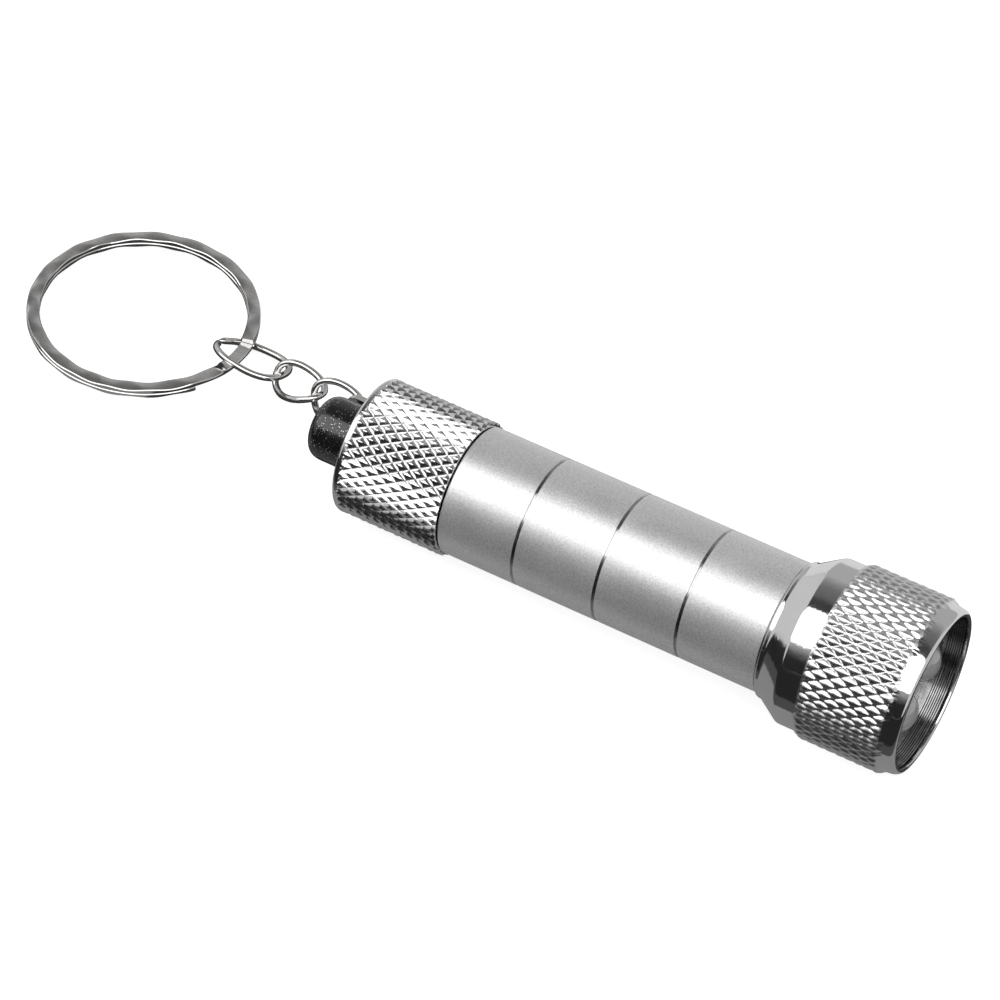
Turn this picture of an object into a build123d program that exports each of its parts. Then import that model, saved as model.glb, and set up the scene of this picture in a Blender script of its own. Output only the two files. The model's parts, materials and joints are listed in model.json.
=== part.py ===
from build123d import *

import os
from math import cos, pi, radians, sin

# Keychain flashlight, in millimetres.
# The beam leaves along +X and +Z is up. The origin is the centre of the front rim.
# Threads are drawn as plain close fits, and knurling as its crest cylinder.

# ---- driving dimensions -----------------------------------------------------------------------
RUNNING_GAP = 0.05        # radial clearance of every turning or sliding fit

# along the axis, from the front rim back
KNURL_FRONT = -1.55
KNURL_REAR = -10.85
CONE_FRONT = -13.2
BARREL_FRONT = -16.25
GROOVES = (-25.1, -34.5, -43.8)
BARREL_REAR = -52.5
TAIL_FACE = -64.8
BUTTON_END = -70.8
SEAM = 0.1                # gap between the barrel and the head or the tail cap

# radii
BARREL_R = 7.0
BARREL_BORE_R = 6.0
SPIGOT_R = 6.5
HEAD_CREST_R = 9.42
HEAD_BAND_R = 8.94
HEAD_MOUTH_R = 8.15
HEAD_CHAMBER_R = 7.4
TAIL_CREST_R = 7.42
BUTTON_R = 3.5
HOUSING_R = 5.8

# threaded joints: a fine thread of this pitch, four turns to come off
THREAD_BORE_R = SPIGOT_R + RUNNING_GAP
FRONT_SPIGOT_LENGTH = 3.4
REAR_SPIGOT_LENGTH = 3.8
GROOVE_WIDTH = 0.45
GROOVE_DEPTH = 0.2

# lamps
LED_COUNT = 5
LED_FIRST_ANGLE = 57.1    # degrees in the YZ-plane, from +Y towards +Z
LED_PITCH_R = 4.7
LED_R = 2.5
LED_FLANGE_R = 2.65
LED_TIP = -1.35
LED_HEIGHT = 8.6
LED_FLANGE = 1.0
LEAD_SPREAD = 1.27
LEAD_SIDE = 0.45
LED_BACK = LED_TIP - LED_HEIGHT
LED_SHOULDER = LED_BACK + LED_FLANGE
HOLDER_THICKNESS = 2.0
BOARD_FRONT = -10.5
BOARD_BACK = -11.3

# cells, of the LR44 size
CELL_R = 5.8
CELL_HEIGHT = 5.4
CELL_COUNT = 4
CELLS_FRONT = -17.6
CELLS_REAR = CELLS_FRONT - CELL_COUNT * CELL_HEIGHT

# switch cartridge
HOUSING_REAR = -60.2
HOUSING_FRONT = -46.0
HOUSING_BORE_R = 3.75
BUTTON_FLANGE_R = 4.3
BUTTON_ROUNDING = 1.6
TAIL_WALL = 2.0
BUTTON_TRAVEL = 1.5

# chain: the points where the eye, the three links and the ring hang on one another
WIRE_R = 0.375
LINK_GAP = 0.12           # space left between the wires of two links at rest
CHAIN_POINTS = ((-69.38, 5.38, -1.34), (-75.16, 7.01, -3.77), (-80.74, 8.6, -4.86),
                (-88.14, 9.51, -4.97))
LINK_WIDTH = 4.7
LINK_ROLLS = (21.0, 25.0)     # degrees at the middle of each link, far side up
LINK_TWISTS = (-45.0, -29.0)  # degrees from a link's middle to its end nearer the torch
JUMP_WIDTH = 7.1
JUMP_ROLL = -22.0
JUMP_TWIST = 5.0

# split ring of two layers, joined by a short jog
RING_CENTRE = (-97.9, 8.5, -4.6)
RING_R = 12.6
RING_WIRE_WIDTH = 1.4
RING_LAYER = 0.6
RING_LAYER_GAP = 0.05
RING_TILT = 1.4           # degrees: its near edge rests on the chain, the other on the ground
JOG_FROM = -35.0          # degrees round the ring: the jog is in the top layer here,
JOG_TO = 11.0             # and in the bottom layer here


# ---- helpers ----------------------------------------------------------------------------------
def turned(*outline):
    """A solid of revolution about the X axis, from a closed run of (x, radius) points."""
    points = [(x, 0, r) for x, r in outline]
    return revolve(make_face(Polyline(*points, close=True)), Axis.X)


def tube(x_low, x_high, r_out, r_in=0.0):
    """A plain cylinder or ring about the X axis."""
    return turned((x_low, r_in), (x_high, r_in), (x_high, r_out), (x_low, r_out))


def block(x_range, y_range, z_range):
    """A box between two limits on each axis."""
    centre = [(low + high) / 2 for low, high in (x_range, y_range, z_range)]
    sides = [high - low for low, high in (x_range, y_range, z_range)]
    return Pos(*centre) * Box(*sides)


def around(angle, shape):
    """The shape turned about the X axis, from +Y towards +Z."""
    return Rot(angle, 0, 0) * shape


def coil(x_low, x_high, mean_r, wire_r, turns):
    """A cylindrical coil spring about the X axis, between the two planes that it fills."""
    height = x_high - x_low - 2 * wire_r
    path = Helix(pitch=height / turns, height=height, radius=mean_r)
    section = Plane(origin=path @ 0, z_dir=path % 0) * Circle(wire_r)
    return Pos(x_low + wire_r, 0, 0) * Rot(0, 90, 0) * sweep(section, path=path, is_frenet=True)


def write(name, shape):
    """One STEP file for one node."""
    export_step(shape, f"parts/{name}.step")


# ---- barrel -----------------------------------------------------------------------------------
def make_barrel():
    """Tube with a threaded spigot at each end and three turned grooves."""
    front_spigot = BARREL_FRONT + FRONT_SPIGOT_LENGTH
    rear_spigot = BARREL_REAR - REAR_SPIGOT_LENGTH
    outline = [(rear_spigot, BARREL_BORE_R), (rear_spigot, SPIGOT_R), (BARREL_REAR, SPIGOT_R),
               (BARREL_REAR, BARREL_R)]
    for groove in sorted(GROOVES):
        outline += [(groove - GROOVE_WIDTH / 2, BARREL_R), (groove, BARREL_R - GROOVE_DEPTH),
                    (groove + GROOVE_WIDTH / 2, BARREL_R)]
    outline += [(BARREL_FRONT, BARREL_R), (BARREL_FRONT, SPIGOT_R), (front_spigot, SPIGOT_R),
                (front_spigot, BARREL_BORE_R)]
    return turned(*outline)


def make_cell(front):
    """Button cell: the can is the positive side, at the front, and the cap the negative."""
    cap_step = 0.25
    cap_r = 4.9
    edge = 0.3
    back = front - CELL_HEIGHT
    return turned((back, 0), (back, cap_r), (back + cap_step, cap_r),
                  (back + cap_step, CELL_R - edge), (back + cap_step + edge, CELL_R),
                  (front - edge, CELL_R), (front, CELL_R - edge), (front, 0))


# ---- head -------------------------------------------------------------------------------------
SEAL_X = -15.0
SEAL_WIRE_R = 0.25
SEAL_GAP = 0.05


def make_head_bezel():
    """Knurled bell: a mouth for the lamp module, a contact shoulder, and a threaded rear bore."""
    rear = BARREL_FRONT + SEAM
    lip_r = 8.6
    collar_r = 7.2
    collar_end = -15.75
    thread_front = -12.6
    gland_r = SPIGOT_R + RUNNING_GAP + 2 * SEAL_WIRE_R + SEAL_GAP
    gland_half = SEAL_WIRE_R + SEAL_GAP
    return turned((0, HEAD_MOUTH_R), (0, lip_r - 0.15), (-0.35, lip_r), (-1.0, HEAD_BAND_R),
                  (KNURL_FRONT, HEAD_BAND_R), (KNURL_FRONT, HEAD_CREST_R),
                  (KNURL_REAR, HEAD_CREST_R), (KNURL_REAR, HEAD_BAND_R),
                  (CONE_FRONT, HEAD_BAND_R), (collar_end, collar_r + 0.1),
                  (rear + 0.1, collar_r), (rear, collar_r - 0.1), (rear, THREAD_BORE_R),
                  (SEAL_X - gland_half, THREAD_BORE_R), (SEAL_X - gland_half, gland_r),
                  (SEAL_X + gland_half, gland_r), (SEAL_X + gland_half, THREAD_BORE_R),
                  (thread_front, THREAD_BORE_R), (thread_front, HEAD_CHAMBER_R),
                  (BOARD_BACK, HEAD_CHAMBER_R), (BOARD_BACK, HEAD_MOUTH_R))


def make_head_o_ring():
    """Seal that rides in the gland of the bezel, round the barrel's front spigot."""
    centre_r = SPIGOT_R + RUNNING_GAP + SEAL_WIRE_R
    return Pos(SEAL_X, 0, 0) * Rot(0, 90, 0) * Torus(centre_r, SEAL_WIRE_R)


def lamp_angles():
    """The angles of the lamps round the axis, in degrees."""
    return [LED_FIRST_ANGLE + 360 / LED_COUNT * k for k in range(LED_COUNT)]


def make_led_holder():
    """Disc with a hole for each lamp, and a skirt that stands on the board."""
    outer_r = HEAD_MOUTH_R - 0.03
    skirt_r = LED_PITCH_R + LED_FLANGE_R + 0.1
    holder = turned((LED_SHOULDER + HOLDER_THICKNESS, 0), (LED_SHOULDER + HOLDER_THICKNESS, outer_r),
                    (BOARD_FRONT, outer_r), (BOARD_FRONT, skirt_r), (LED_SHOULDER, skirt_r),
                    (LED_SHOULDER, 0))
    hole = tube(LED_SHOULDER - 1, LED_SHOULDER + HOLDER_THICKNESS + 1, LED_R + RUNNING_GAP)
    for angle in lamp_angles():
        holder -= around(angle, Pos(0, LED_PITCH_R, 0) * hole)
    return holder


def make_led(angle):
    """5 mm lamp: flange, body and dome, moulded in one piece of clear resin."""
    dome = LED_TIP - LED_R
    lamp = turned((LED_BACK, 0), (LED_BACK, LED_FLANGE_R), (LED_SHOULDER, LED_FLANGE_R),
                  (LED_SHOULDER, LED_R), (dome, LED_R), (dome, 0))
    lamp += Pos(dome, 0, 0) * Sphere(LED_R)
    return around(angle, Pos(0, LED_PITCH_R, 0) * lamp)


def make_led_leads():
    """The two square leads of every lamp, down through the board."""
    lead_end = BOARD_BACK - 0.7
    half = LEAD_SIDE / 2
    leads = []
    for angle in lamp_angles():
        for side in (-LEAD_SPREAD, LEAD_SPREAD):
            lead = block((lead_end, LED_BACK), (LED_PITCH_R - half, LED_PITCH_R + half),
                         (side - half, side + half))
            leads.append(around(angle, lead))
    return Compound(children=leads)


def make_led_board():
    """Round circuit board with a hole for every lead."""
    board = tube(BOARD_BACK, BOARD_FRONT, HEAD_MOUTH_R - 0.03)
    hole = tube(BOARD_BACK - 1, BOARD_FRONT + 1, LEAD_SIDE / 2 * 1.6)
    for angle in lamp_angles():
        for side in (-LEAD_SPREAD, LEAD_SPREAD):
            board -= around(angle, Pos(0, LED_PITCH_R, side) * hole)
    return board


def make_resistor():
    """Chip resistor on the back of the board, between the leads of two lamps."""
    between = LED_FIRST_ANGLE + 180 / LED_COUNT
    chip = block((BOARD_BACK - 0.55, BOARD_BACK), (5.35, 6.95), (-1.6, 1.6))
    return around(between, chip)


def make_board_pad():
    """Brass pad in the middle of the board, which carries the front spring."""
    return tube(BOARD_BACK - 0.3, BOARD_BACK, 2.8)


# ---- switch cartridge -------------------------------------------------------------------------
RIB_COUNT = 4
RIB_WIDTH = 0.8
RIB_REACH = 4.1
STEM_R = 2.0
PIN_R = 1.1
PLUNGER_REAR = -58.0
PLUNGER_FRONT = -55.2
ROTOR_FRONT = -53.1
BRIDGE_REAR = -52.9
BRIDGE_FRONT = -52.5
HOUSING_WALL = 2.0
RIVET_R = 0.7


def make_switch_housing():
    """Cup with a rear flange, a bore for the plunger, and slots that keep the plunger from turning."""
    flange_front = HOUSING_REAR + 1.0
    bore_end = HOUSING_FRONT - HOUSING_WALL
    housing = turned((HOUSING_REAR, HOUSING_BORE_R), (HOUSING_REAR, SPIGOT_R - 0.05),
                     (flange_front, SPIGOT_R - 0.05), (flange_front, HOUSING_R),
                     (HOUSING_FRONT, HOUSING_R), (HOUSING_FRONT, RIVET_R + RUNNING_GAP),
                     (bore_end, RIVET_R + RUNNING_GAP), (bore_end, HOUSING_BORE_R))
    half = RIB_WIDTH / 2 + RUNNING_GAP
    slot_front = PLUNGER_FRONT + BUTTON_TRAVEL + 0.2
    slot = block((HOUSING_REAR - 1, slot_front), (0, RIB_REACH + RUNNING_GAP), (-half, half))
    for k in range(RIB_COUNT):
        housing -= around(360 / RIB_COUNT * k, slot)
    return housing


def make_push_button():
    """Button with a rounded outer end, a flange inside the cap, and a stem."""
    flange_rear = TAIL_FACE + TAIL_WALL + 0.1
    flange_front = flange_rear + 0.8
    button = turned((BUTTON_END, 0), (BUTTON_END, BUTTON_R), (flange_rear, BUTTON_R),
                    (flange_rear, BUTTON_FLANGE_R), (flange_front, BUTTON_FLANGE_R),
                    (flange_front, STEM_R), (PLUNGER_REAR, STEM_R), (PLUNGER_REAR, 0))
    outer_edge = button.edges().filter_by(GeomType.CIRCLE).sort_by(Axis.X)[0]
    return fillet(outer_edge, BUTTON_ROUNDING)


def make_switch_plunger():
    """Ribbed slider on the end of the button's stem, with the pin that carries the rotor."""
    plunger = tube(PLUNGER_REAR, PLUNGER_FRONT, HOUSING_BORE_R - 0.1)
    plunger += tube(PLUNGER_FRONT, BRIDGE_FRONT, PIN_R)
    rib = block((PLUNGER_REAR, PLUNGER_FRONT), (PIN_R, RIB_REACH), (-RIB_WIDTH / 2, RIB_WIDTH / 2))
    for k in range(RIB_COUNT):
        plunger += around(360 / RIB_COUNT * k, rib)
    return plunger


def make_ratchet_rotor():
    """Latching rotor: it turns an eighth of a turn on the plunger's pin with every press."""
    rotor = tube(PLUNGER_FRONT + 0.1, ROTOR_FRONT, 2.8, PIN_R + RUNNING_GAP)
    tooth = block((PLUNGER_FRONT + 0.1, ROTOR_FRONT), (2.4, 3.4), (-0.4, 0.4))
    for k in range(RIB_COUNT):
        rotor += around(360 / RIB_COUNT * k, tooth)
    return rotor


def make_contact_bridge():
    """Brass washer at the front end of the plunger's pin."""
    return tube(BRIDGE_REAR, BRIDGE_FRONT, 2.7, PIN_R + 0.01)


def make_contact_plate():
    """Brass disc on the front of the cartridge, riveted through its wall."""
    plate = tube(HOUSING_FRONT, HOUSING_FRONT + 0.4, 4.6)
    return plate + tube(HOUSING_FRONT - HOUSING_WALL - 0.4, HOUSING_FRONT, RIVET_R)


# ---- tail cap ---------------------------------------------------------------------------------
EYE_ANGLE = -14.0
EYE_RADIUS = 5.55
EYE_THICKNESS = 0.9
EYE_HOLE_R = 0.75
EYE_R = 1.25
EYE_X = CHAIN_POINTS[0][0]
EYE_SHANK = 1.2


def make_tail_cap():
    """Knurled cup with a hole for the button and a slot for the chain's eye."""
    mouth = BARREL_REAR - SEAM
    step = HOUSING_REAR - 0.4
    inner = TAIL_FACE + TAIL_WALL
    lip = 0.3
    cap = turned((mouth, THREAD_BORE_R), (mouth, TAIL_CREST_R - 0.1), (mouth - 0.1, TAIL_CREST_R),
                 (TAIL_FACE + lip, TAIL_CREST_R), (TAIL_FACE, TAIL_CREST_R - lip),
                 (TAIL_FACE, BUTTON_R + 0.1), (inner, BUTTON_R + 0.1), (inner, 5.2), (step, 5.2),
                 (step, THREAD_BORE_R))
    clear = 0.01
    half = EYE_THICKNESS / 2 + clear
    slot = block((TAIL_FACE - 1, TAIL_FACE + EYE_SHANK + clear),
                 (EYE_RADIUS - half, EYE_RADIUS + half), (-EYE_R - clear, EYE_R + clear))
    return cap - around(EYE_ANGLE, slot)


def make_chain_eye():
    """Flat tab with a round end and a hole, its shank staked into the tail face."""
    half = EYE_THICKNESS / 2
    tab = block((EYE_X, TAIL_FACE + EYE_SHANK), (EYE_RADIUS - half, EYE_RADIUS + half),
                (-EYE_R, EYE_R))
    end = Pos(EYE_X, EYE_RADIUS, 0) * Rot(90, 0, 0)
    tab += end * Cylinder(EYE_R, EYE_THICKNESS)
    return around(EYE_ANGLE, tab - end * Cylinder(EYE_HOLE_R, 3 * EYE_THICKNESS))


def make_ground_ring():
    """Brass washer between the cartridge and the tail cap."""
    return tube(HOUSING_REAR - 0.4, HOUSING_REAR, SPIGOT_R, 4.8)


# ---- chain and split ring ---------------------------------------------------------------------
def link_ends():
    """For each link, the centres of its wire at the end nearer the torch and at the other end."""
    points = [Vector(*point) for point in CHAIN_POINTS]
    half_step = WIRE_R + LINK_GAP / 2
    ends = []
    for k in range(3):
        along = (points[k] - points[k + 1]).normalized()
        near = points[k] if k == 0 else points[k] + along * half_step
        ends.append((near, points[k + 1] - along * half_step))
    return ends


def link_axes(near, far):
    """Unit vectors along a link towards the torch, across it, and out of its plane."""
    along = (near - far).normalized()
    across = Vector(0, 0, 1).cross(along).normalized()
    return along, across, along.cross(across)


def link_side(near, far, angle):
    """The direction that the wire runs in where a link's end is rolled by this angle."""
    _, across, out = link_axes(near, far)
    return across * cos(radians(angle)) + out * sin(radians(angle))


def link_outline(near, far, width, roll, twist):
    """Points along the wire's centre: a long oval, twisted about its own length."""
    count = 20
    squareness = 0.85
    centre = (near + far) * 0.5
    half_length = (near - far).length / 2
    half_width = width / 2 - WIRE_R
    along, _, _ = link_axes(near, far)
    points = []
    for k in range(count):
        turn = 2 * pi * k / count
        u = abs(cos(turn)) ** squareness * (1 if cos(turn) > 0 else -1)
        v = abs(sin(turn)) ** squareness * (1 if sin(turn) > 0 else -1)
        side = link_side(near, far, roll + twist * u)
        points.append(centre + along * (half_length * u) + side * (half_width * v))
    return points


def make_link(near, far, width, roll, twist):
    """One closed wire link, swept in two halves that meet in the middles of its ends."""
    points = link_outline(near, far, width, roll, twist)
    half = len(points) // 2
    link = Part()
    for path in (Spline(*points[:half + 1]), Spline(*points[half:], points[0])):
        link += sweep(Plane(origin=path @ 0, z_dir=path % 0) * Circle(WIRE_R), path=path)
    return link


def ring_section(angle, z_low):
    """The wire's rectangular section at an angle round the ring."""
    inner = RING_R - RING_WIRE_WIDTH
    outline = Polyline((inner, 0, z_low), (RING_R, 0, z_low), (RING_R, 0, z_low + RING_LAYER),
                       (inner, 0, z_low + RING_LAYER), close=True)
    return Rot(0, 0, angle) * make_face(outline)


def make_split_ring():
    """Flat wire wound twice round: two open layers and the jog that joins them."""
    bottom = -RING_LAYER - RING_LAYER_GAP / 2
    top = RING_LAYER_GAP / 2
    sweep_angle = 360 - (JOG_TO - JOG_FROM)
    lower = revolve(ring_section(JOG_TO, bottom), Axis.Z, revolution_arc=sweep_angle)
    upper = revolve(ring_section(JOG_TO, top), Axis.Z, revolution_arc=sweep_angle)
    steps = 8
    sections = []
    for k in range(steps + 1):
        part_way = k / steps
        eased = part_way * part_way * (3 - 2 * part_way)
        angle = JOG_TO + (JOG_FROM - JOG_TO) * part_way
        sections.append(ring_section(angle, bottom + (top - bottom) * eased))
    jog = loft(sections)
    ring = lower + jog + upper
    return Pos(*RING_CENTRE) * Rot(0, RING_TILT, 0) * ring


# ---- every node -------------------------------------------------------------------------------
def make_nodes():
    """All the nodes of the flashlight, by name."""
    nodes = {
        "barrel": make_barrel(),
        "battery_sleeve": tube(CELLS_REAR - 0.6, CELLS_FRONT + 0.6, 5.95, CELL_R + 0.03),
        "head_bezel": make_head_bezel(),
        "head_o_ring": make_head_o_ring(),
        "led_holder": make_led_holder(),
        "led_leads": make_led_leads(),
        "led_board": make_led_board(),
        "led_resistor": make_resistor(),
        "board_pad": make_board_pad(),
        "front_spring": coil(CELLS_FRONT, BOARD_BACK - 0.3, 2.3, 0.22, 5),
        "switch_housing": make_switch_housing(),
        "push_button": make_push_button(),
        "switch_plunger": make_switch_plunger(),
        "ratchet_rotor": make_ratchet_rotor(),
        "contact_bridge": make_contact_bridge(),
        "button_spring": coil(BRIDGE_FRONT, HOUSING_FRONT - HOUSING_WALL, 2.2, 0.2, 4),
        "contact_plate": make_contact_plate(),
        "battery_spring": coil(HOUSING_FRONT + 0.4, CELLS_REAR, 3.2, 0.25, 5),
        "tail_cap": make_tail_cap(),
        "ground_ring": make_ground_ring(),
        "chain_eye": make_chain_eye(),
        "split_ring": make_split_ring(),
    }
    for k, angle in enumerate(lamp_angles()):
        nodes[f"led_{k + 1}"] = make_led(angle)
    for k in range(CELL_COUNT):
        nodes[f"cell_{k + 1}"] = make_cell(CELLS_FRONT - k * CELL_HEIGHT)
    first, second, jump = link_ends()
    nodes["chain_link_1"] = make_link(*first, LINK_WIDTH, LINK_ROLLS[0], LINK_TWISTS[0])
    nodes["chain_link_2"] = make_link(*second, LINK_WIDTH, LINK_ROLLS[1], LINK_TWISTS[1])
    nodes["jump_link"] = make_link(*jump, JUMP_WIDTH, JUMP_ROLL, JUMP_TWIST)
    return nodes


def main():
    os.makedirs("parts", exist_ok=True)
    for name, shape in make_nodes().items():
        write(name, shape)


if __name__ == "__main__":
    main()
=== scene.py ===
import json
from math import cos, pi, radians, sin, tan

import bmesh
import bpy
from mathutils import Matrix, Quaternion, Vector, noise

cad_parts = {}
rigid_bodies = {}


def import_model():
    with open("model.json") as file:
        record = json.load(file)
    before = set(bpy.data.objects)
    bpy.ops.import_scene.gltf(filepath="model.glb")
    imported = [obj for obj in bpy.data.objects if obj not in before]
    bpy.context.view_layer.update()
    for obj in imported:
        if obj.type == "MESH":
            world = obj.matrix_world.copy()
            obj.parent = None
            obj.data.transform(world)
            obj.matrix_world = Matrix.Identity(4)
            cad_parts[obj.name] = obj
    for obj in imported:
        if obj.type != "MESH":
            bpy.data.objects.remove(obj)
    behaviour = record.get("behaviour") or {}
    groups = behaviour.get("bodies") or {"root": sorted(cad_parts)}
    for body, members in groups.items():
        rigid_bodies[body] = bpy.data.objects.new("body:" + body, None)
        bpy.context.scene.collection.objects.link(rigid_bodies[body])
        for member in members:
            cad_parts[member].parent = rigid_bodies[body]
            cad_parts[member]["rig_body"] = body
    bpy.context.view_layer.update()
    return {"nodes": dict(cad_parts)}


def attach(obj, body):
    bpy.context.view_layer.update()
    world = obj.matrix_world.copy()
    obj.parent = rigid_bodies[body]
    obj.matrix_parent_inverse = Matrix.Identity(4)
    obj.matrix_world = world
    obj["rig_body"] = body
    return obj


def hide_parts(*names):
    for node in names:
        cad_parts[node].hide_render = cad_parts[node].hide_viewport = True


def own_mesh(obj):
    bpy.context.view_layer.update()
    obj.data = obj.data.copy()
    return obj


# Lengths are in millimetres until a mesh is made. The torch lies along X, its front rim at the
# origin, and +Z is up.

MM = 0.001

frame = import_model()

# ---- the CAD's dimensions that the pieces follow ------------------------------------------------
# HEAD_CREST and RING_R are up to 0.01 under the CAD's, so that the pieces stay inside its box.
HEAD_REAR = -16.15
KNURL_FRONT, KNURL_REAR = -1.55, -10.85
CONE_FRONT = -13.2
HEAD_CREST, HEAD_BAND, HEAD_MOUTH, HEAD_CHAMBER = 9.41, 8.94, 8.15, 7.4
THREAD_BORE, SPIGOT_R = 6.55, 6.5
BOARD_BACK = -11.3
BARREL_FRONT, BARREL_REAR, BARREL_R, BARREL_BORE = -16.25, -52.5, 7.0, 6.0
GROOVES = (-25.1, -34.5, -43.8)
TAIL_MOUTH, TAIL_FACE, TAIL_CREST = -52.6, -64.8, 7.42
BUTTON_R, BUTTON_END, BUTTON_HOLE = 3.5, -70.8, 3.6
SPRING_REAR, SPRING_FRONT, BUTTON_TRAVEL = -52.5, -48.0, 1.5
THREAD_PITCH = 0.75

LED_COUNT, LED_FIRST_ANGLE, LED_PITCH_R = 5, 57.1, 4.7
LED_R, LED_FLANGE_R, LED_TIP, LED_SHOULDER, LED_BACK = 2.5, 2.65, -1.35, -8.95, -9.95

CHAIN_POINTS = ((-69.38, 5.38, -1.34), (-75.16, 7.01, -3.77), (-80.74, 8.6, -4.86),
                (-88.14, 9.51, -4.97))
WIRE_R, LINK_GAP = 0.375, 0.12
LINK_SHAPES = ((4.7, 21.0, -45.0), (4.7, 25.0, -29.0), (7.1, -22.0, 5.0))  # width, roll, twist
RING_CENTRE, RING_R, RING_WIDTH, RING_LAYER, RING_GAP = (-97.9, 8.5, -4.6), 12.595, 1.4, 0.6, 0.05
RING_TILT, JOG_FROM, JOG_TO = 1.4, -35.0, 11.0  # degrees; the jog is the step between the layers


# ---- mesh helpers -------------------------------------------------------------------------------
def add_piece(name, body, shape, finishes, stands_for=(), crease=38.0):
    """A mesh piece that rides on a body; its edges are smooth up to the crease angle."""
    vertices, faces, face_finish = shape
    mesh = bpy.data.meshes.new(name)
    mesh.from_pydata([Vector(v) * MM for v in vertices], [], faces)
    for finish in finishes:
        mesh.materials.append(finish)
    mesh.polygons.foreach_set("material_index", face_finish or [0] * len(faces))
    work = bmesh.new()
    work.from_mesh(mesh)
    bmesh.ops.recalc_face_normals(work, faces=work.faces)
    for face in work.faces:
        face.smooth = True
    for edge in work.edges:
        edge.smooth = edge.is_manifold and edge.calc_face_angle(0.0) < radians(crease)
    work.to_mesh(mesh)
    work.free()
    piece = bpy.data.objects.new(name, mesh)
    bpy.context.scene.collection.objects.link(piece)
    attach(piece, body)
    if stands_for:
        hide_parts(*stands_for)
    return piece


def turned_mesh(stations, segments):
    """A solid turned about X from a closed run of stations: (x, radius, finish, relief).

    relief(x, angle) is added to the radius. Between two stations with relief, every cell gets a
    point in its middle, so that the diagonals of a knurl fall on edges.
    """
    vertices, faces, face_finish, rings = [], [], [], []
    for x, radius, _, relief in stations:
        if radius == 0:
            rings.append([len(vertices)] * segments)
            vertices.append((x, 0, 0))
            continue
        rings.append(range(len(vertices), len(vertices) + segments))
        for k in range(segments):
            angle = 2 * pi * k / segments
            r = radius + (relief(x, angle) if relief else 0)
            vertices.append((x, r * cos(angle), r * sin(angle)))
    for j, (x, radius, finish, relief) in enumerate(stations):
        after = (j + 1) % len(stations)
        if radius == 0 and stations[after][1] == 0:
            continue
        near, far = rings[j], rings[after]
        for k in range(segments):
            n = (k + 1) % segments
            corners = list(dict.fromkeys((near[k], near[n], far[n], far[k])))
            if relief and stations[after][3]:
                angle = 2 * pi * (k + 0.5) / segments
                middle = (x + stations[after][0]) / 2
                r = (radius + stations[after][1]) / 2 + relief(middle, angle)
                centre = len(vertices)
                vertices.append((middle, r * cos(angle), r * sin(angle)))
                faces += [(corners[i], corners[(i + 1) % 4], centre) for i in range(4)]
                face_finish += [finish] * 4
            else:
                faces.append(corners)
                face_finish.append(finish)
    return vertices, faces, face_finish


def plain(*points, finish=0):
    """Stations without relief."""
    return [(x, r, finish, None) for x, r in points]


def rounded(start, control, end, steps=6, finish=0):
    """Stations along a curve from start to end that bends towards the control point."""
    stations = []
    for k in range(steps + 1):
        t = k / steps
        a, b, c = (1 - t) ** 2, 2 * t * (1 - t), t * t
        stations.append((a * start[0] + b * control[0] + c * end[0],
                         a * start[1] + b * control[1] + c * end[1], finish, None))
    return stations


def even(start, end, count):
    return [start + (end - start) * k / count for k in range(count + 1)]


def smooth_step(low, high, value):
    t = min(1.0, max(0.0, (value - low) / (high - low)))
    return t * t * (3 - 2 * t)


def knurl(count, pitch, depth, front, rear, profile):
    """The height of a diamond knurl from front to rear. The profile says how its grooves end."""
    def height(x, angle):
        across, along = count * angle / (2 * pi), x / pitch
        first, second = (1 - abs(2 * ((across + way * along) % 1) - 1) for way in (1, -1))
        return depth * profile(first, second, x, front, rear)
    return height


def thread(pitch, depth):
    """The height of a one-start V thread."""
    def height(x, angle):
        return depth * abs(2 * ((x / pitch + angle / (2 * pi)) % 1) - 1)
    return height


def wire_mesh(centres, ups, section, closed):
    """A section swept along centres. section(k) gives (across, up) points at the k-th centre.

    ups are directions near each section's up; closed joins the last centre to the first.
    """
    vertices, faces = [], []
    count = len(centres)
    for k, centre in enumerate(centres):
        before = centres[(k - 1) % count] if closed or k else centre
        after = centres[(k + 1) % count] if closed or k < count - 1 else centre
        along = (after - before).normalized()
        across = ups[k].cross(along).normalized()
        up = along.cross(across)
        points = section(k)
        vertices += [centre + across * a + up * b for a, b in points]
    size = len(vertices) // count
    for k in range(count if closed else count - 1):
        a, b = k * size, (k + 1) % count * size
        for i in range(size):
            n = (i + 1) % size
            faces.append((a + i, a + n, b + n, b + i))
    if not closed:
        faces.append(tuple(range(size)))
        faces.append(tuple(range((count - 1) * size, count * size)))
    return vertices, faces, None


# ---- material helpers ---------------------------------------------------------------------------
LABELS = {"metallic": "Metallic", "roughness": "Roughness", "ior": "IOR", "colour": "Base Color",
          "transmission": "Transmission Weight", "coat": "Coat Weight",
          "coat_roughness": "Coat Roughness", "coat_ior": "Coat IOR"}


def shader(name, **settings):
    """A new material and its principled shader, with the shader's plain settings."""
    material = bpy.data.materials.new(name)
    material.use_nodes = True
    surface = material.node_tree.nodes["Principled BSDF"]
    for label, value in settings.items():
        surface.inputs[LABELS[label]].default_value = value
    return material, surface


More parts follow.
